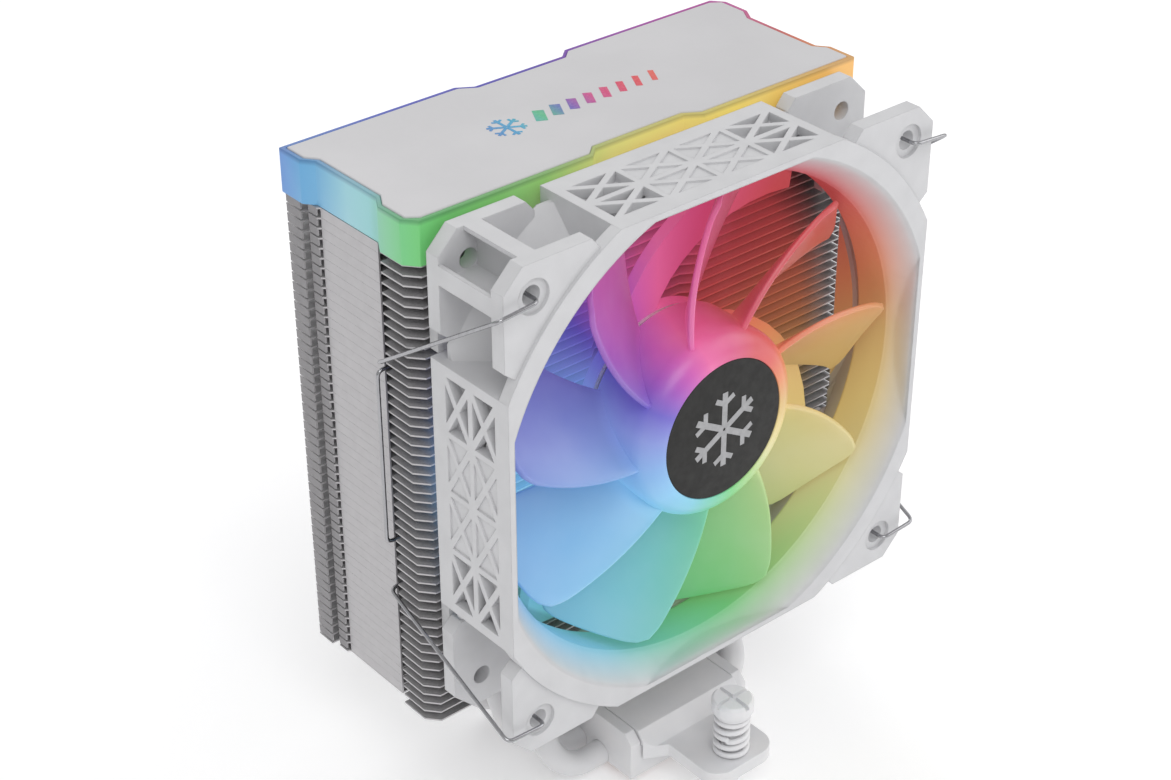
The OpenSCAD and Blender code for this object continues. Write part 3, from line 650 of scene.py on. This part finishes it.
# ---------------------------------------------------------------- CAD nodes that keep their shape
KEPT = {
    "copper": ["cold_plate"],
    "pipe paint": ["heat_pipe_1", "heat_pipe_2", "heat_pipe_3", "heat_pipe_4", "heat_pipe_5"],
    "fins": ["fin_stack"],
    "rubber": ["fin_rubber_strips"],
    "fan": ["fan_frame"],
    "tray": ["cover_tray", "shaft_retainer"],
    "white board": ["cover_led_board", "led_board"],
    "green board": ["motor_board"],
    "brass": ["bearing_tube", "bearing_sleeve"],
    "lamination": ["stator_core"],
    "coil": ["stator_coils"],
    "magnet": ["magnet_ring"],
    "steel": [
        "crossbar_screws", "front_retaining_ring", "rear_retaining_ring", "cover_screws", "rotor_yoke",
        "rotor_shaft",
    ],
}
for material, nodes in KEPT.items():
    for node in nodes:
        for slot in frame["nodes"][node].material_slots:
            slot.material = MATERIALS[material]

# ---------------------------------------------------------------- eased CAD shapes
eased_copy("base_block", "base paint", 0.35 * MM)
eased_copy("crossbar", "base paint", 0.35 * MM)
eased_copy("front_spring_screw", "screw paint", 0.2 * MM)
eased_copy("rear_spring_screw", "screw paint", 0.2 * MM)
eased_copy("light_diffuser", "band", 0.25 * MM)
PLATE_SINK = 0.1 * MM          # keeps the printed decoration inside the frame's box
eased_copy("top_plate", "plate", 0.3 * MM, lower=PLATE_SINK)


# ---------------------------------------------------------------- springs
SPRING_WIRE_R = 0.68 * MM
SPRING_TURNS = 5.2
CLOSED_TURNS = 0.75            # flat turns at each end
SPRING_STEPS = 200


def spring(node):
    """Compression spring with closed ends."""
    low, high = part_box(node)
    centre = (low + high) / 2
    radius = (high.x - low.x) / 2 - SPRING_WIRE_R
    bottom, top = low.z + SPRING_WIRE_R, high.z - SPRING_WIRE_R
    path = []
    for k in range(SPRING_STEPS + 1):
        t = SPRING_TURNS * k / SPRING_STEPS
        flat = min(t, SPRING_TURNS - t)
        climb = min(max((t - CLOSED_TURNS) / (SPRING_TURNS - 2 * CLOSED_TURNS), 0.0), 1.0)
        rise = bottom + (top - bottom) * climb
        lead = 0.5 * SPRING_WIRE_R * min(flat / CLOSED_TURNS, 1.0)
        height = rise + (lead if t < SPRING_TURNS / 2 else -lead)
        x, y = centre.x + radius * math.cos(TAU * t), centre.y + radius * math.sin(TAU * t)
        path.append(Vector((x, y, height)))
    piece = tube("wire_" + node, path, SPRING_WIRE_R, "screw paint", 12)
    attach(piece, "tower", slot_of_node(node), node)
    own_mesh(piece)


spring("front_spring")
spring("rear_spring")


# ---------------------------------------------------------------- wire clips
CLIP_WIRE_R = 0.45 * MM
CLIP_BEND = 1.6 * MM           # reach of each rounded bend
HOOK_LENGTH = 4.7 * MM
LEG_IN = 0.2 * MM              # the sloping legs run this far inside the loop
LOOP_HALF = 21.8 * MM          # half height of the middle stretch, which stands clear of the fins
CATCH_TOP = 23.8 * MM          # ends of the stretches that lie in the fins' notches
CATCH_LOW = -34.6 * MM
CATCH_SLOPE = 0.6 * MM         # how much the wire slopes on its way into a notch
TOP_DROP, LOW_RISE = 0.8 * MM, 0.6 * MM  # slope of the wire from the hooks out to the legs


def clip(node, body, side, notch):
    """Bent spring wire from the fan's holes to the groove in the fins.

    The side is -1 for left, and the notch is the wire's distance from the middle inside the fins' notches.
    """
    low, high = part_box(node)
    outer = (high.x if side > 0 else -low.x) - CLIP_WIRE_R
    inner = (-high.x if side < 0 else low.x) + CLIP_WIRE_R
    leg = outer - LEG_IN
    front, groove = low.y + CLIP_WIRE_R, high.y - CLIP_WIRE_R
    hook_z = (high.z - low.z) / 2 - CLIP_WIRE_R
    shape = [
        (inner, front + HOOK_LENGTH, hook_z), (inner, front, hook_z),
        (leg, front, hook_z - TOP_DROP), (leg, groove, CATCH_TOP),
        (notch, groove, CATCH_TOP - CATCH_SLOPE), (notch, groove, LOOP_HALF),
        (outer, groove, LOOP_HALF), (outer, groove, -LOOP_HALF),
        (notch, groove, -LOOP_HALF), (notch, groove, CATCH_LOW + CATCH_SLOPE),
        (leg, groove, CATCH_LOW), (leg, front, LOW_RISE - hook_z),
        (inner, front, -hook_z), (inner, front + HOOK_LENGTH, -hook_z),
    ]
    corners = [Vector((side * x, y, FAN_Z + z)) for x, y, z in shape]
    piece = tube("bent_" + node, rounded_path(corners, CLIP_BEND), CLIP_WIRE_R, "wire")
    attach(piece, body, slot_of_node(node), node)


clip("left_wire_clip", "left_clip", -1, 58.2 * MM)
clip("right_wire_clip", "right_clip", 1, 60.3 * MM)

# ---------------------------------------------------------------- rotor
def hub():
    """Hub shell: flat face with a seat for the badge, a big rounded shoulder and a thin skirt."""
    inner = HUB_R - HUB_WALL
    face_back = HUB_FRONT + HUB_FACE
    seat_r, seat = BADGE_R + BADGE_GAP, HUB_FRONT + BADGE_DEPTH + 0.02 * MM
    shoulder = arc((HUB_R - HUB_ROUND, HUB_FRONT + HUB_ROUND), HUB_ROUND, -90, 0, 14)
    profile = [(0, seat), (seat_r, seat), (seat_r, HUB_FRONT + 0.1 * MM)] + shoulder
    profile += [(HUB_R, HUB_BACK), (inner, HUB_BACK), (inner, face_back), (0, face_back)]
    return lathe("rotor_hub", profile, "rotor")


BLADES = 9
BLADE_START = 92               # angle of the first blade's root, in degrees
BLADE_SWEEP = 14               # how far the tip lags behind the root
ROOT_WRAP, TIP_WRAP = 34, 25   # turn from the back edge to the front edge
BLADE_BACK, BLADE_FRONT = 19 * MM, 4.4 * MM
BLADE_BELLY = 1.1 * MM
BLADE_THICKNESS = 1.3 * MM
ROOT_R = HUB_R - 1.2 * MM      # the roots start inside the hub's wall
TIP_CORNER = 2 * MM            # how much the tip's corners are taken in
CORNER_FROM = 0.86             # share of the blade's length where that starts


def blades():
    """Broad swept blades as one mesh: a curved sheet for each, given an even thickness."""
    along, across = 18, 12
    tip_r = BLADE_TIP - 0.2 * MM
    points, faces = [], []
    for number in range(BLADES):
        start = len(points)
        for i in range(along + 1):
            u = i / along
            radius = ROOT_R + (tip_r - ROOT_R) * u
            wrap = ROOT_WRAP + (TIP_WRAP - ROOT_WRAP) * u
            corner = TIP_CORNER * max(0.0, u - CORNER_FROM) / (1 - CORNER_FROM)
            middle = BLADE_START + number * 360 / BLADES - BLADE_SWEEP * u
            for j in range(across + 1):
                v = j / across
                reach = radius - corner * (2 * v - 1) ** 8
                turn = math.radians(middle + wrap * (v - 0.5))
                depth = BLADE_BACK + (BLADE_FRONT - BLADE_BACK) * v + BLADE_BELLY * math.sin(math.pi * v)
                points.append(fan_point(reach, turn, depth))
        row = across + 1
        for i in range(along):
            for j in range(across):
                a = start + i * row + j
                faces.append((a, a + 1, a + row + 1, a + row))
    piece = add_object("rotor_blades", made_mesh("rotor_blades", points, faces), "rotor")
    thick = piece.modifiers.new("thick", "SOLIDIFY")
    thick.thickness = BLADE_THICKNESS
    thick.offset = 0
    bevel(piece, 0.45 * MM, 3, 50)
    return piece


attach(hub(), "rotor", "frosted_rotor", "impeller")
attach(blades(), "rotor", "frosted_rotor", "impeller")

# ---------------------------------------------------------------- badge and its figure
BADGE_SINK = 0.12 * MM         # keeps the figure on the badge inside the frame's box


def badge():
    """Disc on the hub with an eased rim."""
    rim = 0.3 * MM
    face = HUB_FRONT + BADGE_SINK
    back = HUB_FRONT + BADGE_DEPTH
    profile = [(0, back), (BADGE_R, back)] + arc((BADGE_R - rim, face + rim), rim, 0, -90, 5) + [(0, face)]
    return lathe("badge_disc", profile, "badge")


STRIP_STEP = 0.01              # each strip is a little lower than the one before, where they cross


def bars(name, material, strips, place):
    """Thin raised strips; each is (x, y, length, width, turn in degrees) in the figure's own plane."""
    points, faces = [], []
    for number, (x, y, length, width, turn) in enumerate(strips):
        c, s = math.cos(math.radians(turn)), math.sin(math.radians(turn))
        for lift in (0.0, 1.0 - number * STRIP_STEP):
            for a, b in ((-0.5, -0.5), (0.5, -0.5), (0.5, 0.5), (-0.5, 0.5)):
                u, v = a * length, b * width
                points.append(place(x + u * c - v * s, y + u * s + v * c, lift))
        n = len(points) - 8
        faces += [(n, n + 1, n + 2, n + 3), (n + 4, n + 5, n + 6, n + 7)]
        faces += [(n + k, n + (k + 1) % 4, n + 4 + (k + 1) % 4, n + 4 + k) for k in range(4)]
    return add_object(name, made_mesh(name, points, faces), material)


def snow_strips(size):
    """A plain snow crystal: six arms, each with one pair of short branches."""
    strips = []
    for k in range(6):
        turn = 30 + 60 * k
        c, s = math.cos(math.radians(turn)), math.sin(math.radians(turn))
        strips.append((0.27 * size * c, 0.27 * size * s, 0.5 * size, 0.085 * size, turn))
        for lean in (-60, 60):
            t = turn + lean
            x = 0.36 * size * c + 0.08 * size * math.cos(math.radians(t))
            y = 0.36 * size * s + 0.08 * size * math.sin(math.radians(t))
            strips.append((x, y, 0.18 * size, 0.07 * size, t))
    return strips


def on_badge(x, y, lift):
    """A point of the badge's figure; a lift of 0 is just under the badge's face, and 1 is its top."""
    return Vector((x, badge_low.y + (0.13 - 0.11 * lift) * MM, FAN_Z + y))


attach(badge(), "rotor", "badge", "hub_badge")
attach(bars("badge_figure", "badge mark", snow_strips(18 * MM), on_badge), "rotor", "badge")

# ---------------------------------------------------------------- decoration on the top plate
DECOR_Y = COVER_Y - 1 * MM
CRYSTAL_X, CRYSTAL_SIZE = -20.5 * MM, 8.4 * MM
DASHES = 8
DASH_X, DASH_STEP = -11.5 * MM, 4.6 * MM
DASH_LENGTH, DASH_WIDTH = 5.2 * MM, 2.6 * MM
DASH_SLANT = 62
DASH_THINNING = 0.07           # each dash is narrower than the first by this share more


def on_plate(x, y, lift):
    """A point of the decoration; a lift of 0 is just under the plate's face, and 1 is its top."""
    return Vector((x, DECOR_Y + y, plate_top - (0.15 - 0.12 * lift) * MM))


def decoration():
    """A snow crystal and a row of slanted dashes, printed on the top plate."""
    strips = [(x + CRYSTAL_X, y, a, b, t) for x, y, a, b, t in snow_strips(CRYSTAL_SIZE)]
    for k in range(DASHES):
        width = DASH_WIDTH * (1.0 - DASH_THINNING * k)
        strips.append((DASH_X + k * DASH_STEP, 0, DASH_LENGTH, width, DASH_SLANT))
    return bars("plate_decoration", "emblem", strips, on_plate)


attach(decoration(), "tower", "top_plate")


# ---------------------------------------------------------------- floor, lights and camera
FLOOR_HALF = 3.0
LIGHT_SIZE = 0.9
LIGHT_AIM = Vector((0, 0, 0.08))


def floor():
    """The plain floor that the cold plate's face stands on."""
    signs = ((-1, -1), (1, -1), (1, 1), (-1, 1))
    points = [Vector((x * FLOOR_HALF, y * FLOOR_HALF, 0)) for x, y in signs]
    return add_object("floor", made_mesh("floor", points, [(0, 1, 2, 3)]), "floor")


def area_light(name, place, power):
    """A soft square light, aimed at the object."""
    data = bpy.data.lights.new(name, "AREA")
    data.size = LIGHT_SIZE
    data.energy = power
    lamp = bpy.data.objects.new(name, data)
    lamp.location = place
    lamp.rotation_euler = (LIGHT_AIM - Vector(place)).to_track_quat("-Z", "Y").to_euler()
    bpy.context.scene.collection.objects.link(lamp)


def world(strength):
    """Even white light from all around."""
    made = bpy.data.worlds.new("studio")
    made.use_nodes = True
    back = made.node_tree.nodes["Background"]
    back.inputs["Color"].default_value = (1, 1, 1, 1)
    back.inputs["Strength"].default_value = strength
    bpy.context.scene.world = made


CAMERA_PLACE = Vector((-0.29182, -0.33358, 0.36834))
CAMERA_AZIMUTH, CAMERA_ELEVATION, CAMERA_ROLL = -40.637, 31.791, 0.098
SENSOR_WIDTH, LENS = 36, 70.484  # in millimetres
SHIFT_X, SHIFT_Y = -0.010905, -0.007874


def camera():
    """The camera at the photograph's viewing angle; the shift puts its optical axis off the middle."""
    data = bpy.data.cameras.new("camera")
    data.sensor_width = SENSOR_WIDTH
    data.lens = LENS
    data.shift_x = SHIFT_X
    data.shift_y = SHIFT_Y
    data.clip_start = 0.01
    made = bpy.data.objects.new("camera", data)
    tilt = Matrix.Rotation(math.radians(90 - CAMERA_ELEVATION), 4, "X")
    swing = Matrix.Rotation(math.radians(CAMERA_AZIMUTH), 4, "Z")
    roll = Matrix.Rotation(math.radians(CAMERA_ROLL), 4, "Z")
    made.matrix_world = Matrix.Translation(CAMERA_PLACE) @ swing @ tilt @ roll
    bpy.context.scene.collection.objects.link(made)
    bpy.context.scene.camera = made


floor()
world(0.6)
area_light("key", (-0.5, -0.9, 1.3), 6.5)
area_light("fill", (0.9, -0.5, 0.7), 3)
area_light("back", (0.2, 1.0, 1.0), 3.5)
camera()
bpy.context.scene.view_settings.view_transform = "Standard"
